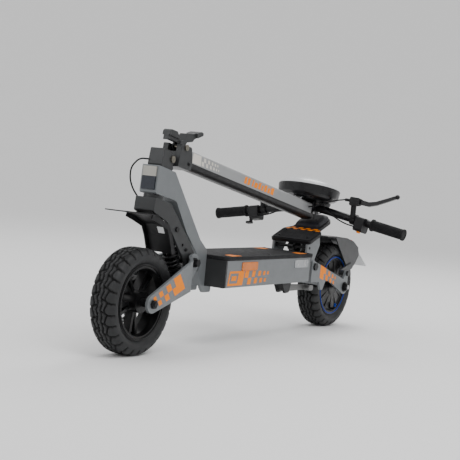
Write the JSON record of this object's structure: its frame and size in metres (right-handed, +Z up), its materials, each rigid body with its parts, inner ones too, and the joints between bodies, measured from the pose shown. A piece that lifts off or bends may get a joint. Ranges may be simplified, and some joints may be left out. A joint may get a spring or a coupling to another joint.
{
  "type": "folding electric kick scooter",
  "caption": "Folding electric kick scooter shown folded, with sprung swing arms, a rear hub motor, disc brakes, a lidded battery deck, a rear footrest and a round display at the handlebar.",
  "frame": {"origin": "ground level, bottom centre of the whole object's bounding box", "axes": "+X towards the front wheel, +Y to the rider's left, +Z up"},
  "size_m": [1.3586, 0.6298, 0.5409],
  "materials": {
    "amber_lens": "ribbed lens",
    "bare_alloy": "satin",
    "black_paint": "satin black paint",
    "black_plastic": "moulded, fine grain",
    "black_steel": "black zinc",
    "cast_alloy": "dark anodised",
    "cell_wrap": "shrink film",
    "clear_flap": "milky, soft",
    "copper_core": "varnished windings",
    "grey_alloy": "satin grey enamel on alloy",
    "grey_paint": "satin grey enamel",
    "grey_plastic": "smooth moulding",
    "lamp_lens": "clear lens",
    "orange": "satin orange powder coat",
    "red_lens": "ribbed lens",
    "rubber": "matt, patterned",
    "screen_glass": "polished",
    "silver_alloy": "satin silver paint on alloy",
    "silver_paint": "satin silver paint",
    "steel": "brushed",
    "tyre": "matt tread"
  },
  "bodies": {
    "frame": {"neck_frame": "grey_alloy", "headset_bearings": "steel", "deck_shell": "silver_alloy", "deck_end_plates": "grey_alloy", "deck_lid": "black_plastic", "deck_mat": "rubber", "battery_pack": "cell_wrap", "motor_controller": "bare_alloy", "side_markers": "amber_lens", "headlight_housing": "black_plastic", "headlight_lens": "lamp_lens", "footrest_brackets": "silver_alloy", "footrest_tray": "black_plastic", "footrest_mat": "rubber", "rear_pivot_bolts": "black_steel", "kickstand_bracket": "black_paint"},
    "kickstand": {"kickstand_leg": "bare_alloy"},
    "steering": {"fork": "grey_paint", "fold_base": "black_paint", "front_fender": "black_plastic", "front_pivot_bolts": "black_steel", "head_cable": "rubber"},
    "stem": {"fold_top": "black_paint", "fold_pins": "steel", "stem_tube": "silver_paint", "bar_clamp": "black_paint", "handlebar": "black_paint", "grips": "rubber", "display_housing": "grey_plastic", "display_screen": "screen_glass", "brake_perches": "black_plastic", "switch_housings": "black_plastic", "cockpit_cables": "rubber"},
    "latch_lever": {"latch_lever": "black_paint"},
    "latch_hook": {"latch_hook": "black_paint"},
    "brake_lever_left": {"brake_lever_left": "grey_alloy"},
    "brake_lever_right": {"brake_lever_right": "grey_alloy"},
    "throttle_paddle": {"throttle_paddle": "black_plastic"},
    "horn_button": {"horn_button": "orange"},
    "front_arm": {"front_arms": "silver_paint", "front_axle": "black_steel", "front_caliper": "cast_alloy"},
    "front_wheel": {"front_tyre": "tyre", "front_rim": "cast_alloy", "front_disc": "steel"},
    "front_shock_upper": {"front_shock_body": "black_paint", "front_spring": "black_paint"},
    "front_shock_lower": {"front_shock_rod": "steel"},
    "rear_arm": {"rear_arms": "silver_alloy", "motor_stator": "copper_core", "rear_fender": "grey_plastic", "tail_lamp": "red_lens", "rear_mud_flap": "clear_flap", "rear_caliper": "cast_alloy"},
    "rear_wheel": {"hub_motor_shell": "cast_alloy", "rear_tyre": "tyre", "rear_disc": "steel"},
    "rear_shock_upper": {"rear_shock_body": "black_paint", "rear_spring": "black_paint"},
    "rear_shock_lower": {"rear_shock_rod": "steel"}
  },
  "joints": [
    {"name": "steer", "type": "hinge", "parent": "frame", "child": "steering", "pos_m": [0.48975, 0, 0.444], "axis": [-0.1908, 0, 0.9816], "range_deg": [-7, 7]},
    {"name": "stem_fold", "type": "hinge", "parent": "steering", "child": "stem", "pos_m": [0.46575, 0, 0.467], "axis": [0, 1, 0], "range_deg": [0, 87.5]},
    {"name": "latch_lever_turn", "type": "hinge", "parent": "stem", "child": "latch_lever", "pos_m": [0.42088, 0, 0.49785], "axis": [0, 1, 0], "range_deg": [0, 50]},
    {"name": "latch_hook_turn", "type": "hinge", "parent": "latch_lever", "child": "latch_hook", "pos_m": [0.41293, 0, 0.50866], "axis": [0, 1, 0], "range_deg": [-72, 2]},
    {"name": "brake_left", "type": "hinge", "parent": "stem", "child": "brake_lever_left", "pos_m": [-0.29309, 0.164, 0.39546], "axis": [-0.9856, 0, -0.1693], "range_deg": [0, 24], "stiffness_Nm_per_rad": 0.5, "springref_deg": -11.46},
    {"name": "brake_right", "type": "hinge", "parent": "stem", "child": "brake_lever_right", "pos_m": [-0.29309, -0.164, 0.39546], "axis": [0.9856, 0, 0.1693], "range_deg": [0, 24], "stiffness_Nm_per_rad": 0.5, "springref_deg": -11.46},
    {"name": "throttle", "type": "hinge", "parent": "stem", "child": "throttle_paddle", "pos_m": [-0.31425, 0, 0.36798], "axis": [0.0294, -0.9848, -0.1711], "range_deg": [0, 40], "stiffness_Nm_per_rad": 0.08, "springref_deg": -17.19},
    {"name": "horn_press", "type": "slide", "parent": "stem", "child": "horn_button", "axis": [-0.1668, 0.1736, 0.9706], "range_m": [0, 0.002], "stiffness_N_per_m": 600, "springref_m": -0.001},
    {"name": "kickstand_swing", "type": "hinge", "parent": "frame", "child": "kickstand", "pos_m": [-0.09025, 0.055, 0.139], "axis": [0, -1, 0], "range_deg": [0, 100]},
    {"name": "front_suspension", "type": "hinge", "parent": "steering", "child": "front_arm", "pos_m": [0.35875, 0, 0.218], "axis": [0, -1, 0], "range_deg": [0, 13], "stiffness_Nm_per_rad": 150, "springref_deg": -20.05},
    {"name": "front_wheel_spin", "type": "hinge", "parent": "front_arm", "child": "front_wheel", "pos_m": [0.55175, 0, 0.1275], "axis": [0, 1, 0], "continuous": true},
    {"name": "front_shock_swing", "type": "hinge", "parent": "steering", "child": "front_shock_upper", "pos_m": [0.43275, 0, 0.299], "axis": [0, 1, 0], "range_deg": [-6, 6]},
    {"name": "front_shock_stroke", "type": "slide", "parent": "front_shock_upper", "child": "front_shock_lower", "axis": [-0.3714, 0, -0.9285], "range_m": [-0.02, 0.002], "deforming": ["front_spring"]},
    {"name": "rear_suspension", "type": "hinge", "parent": "frame", "child": "rear_arm", "pos_m": [-0.25325, 0, 0.195], "axis": [0, 1, 0], "range_deg": [0, 9], "stiffness_Nm_per_rad": 350, "springref_deg": -20.05},
    {"name": "rear_wheel_spin", "type": "hinge", "parent": "rear_arm", "child": "rear_wheel", "pos_m": [-0.46425, 0, 0.1275], "axis": [0, 1, 0], "continuous": true},
    {"name": "rear_shock_swing", "type": "hinge", "parent": "frame", "child": "rear_shock_upper", "pos_m": [-0.22325, 0, 0.2485], "axis": [0, 1, 0], "range_deg": [-8, 8]},
    {"name": "rear_shock_stroke", "type": "slide", "parent": "rear_shock_upper", "child": "rear_shock_lower", "axis": [-0.9902, 0, -0.1396], "range_m": [-0.02, 0.002], "deforming": ["rear_spring"]}
  ],
  "couplings": [
    {"joint": "latch_hook_turn", "follows": "latch_lever_turn", "ratio": -1.4},
    {"joint": "front_shock_swing", "follows": "front_suspension", "ratio": -0.14498},
    {"joint": "front_shock_stroke", "follows": "front_suspension", "m_per_rad": -0.040412},
    {"joint": "rear_shock_swing", "follows": "rear_suspension", "ratio": 0.69859},
    {"joint": "rear_shock_stroke", "follows": "rear_suspension", "m_per_rad": -0.050714}
  ]
}
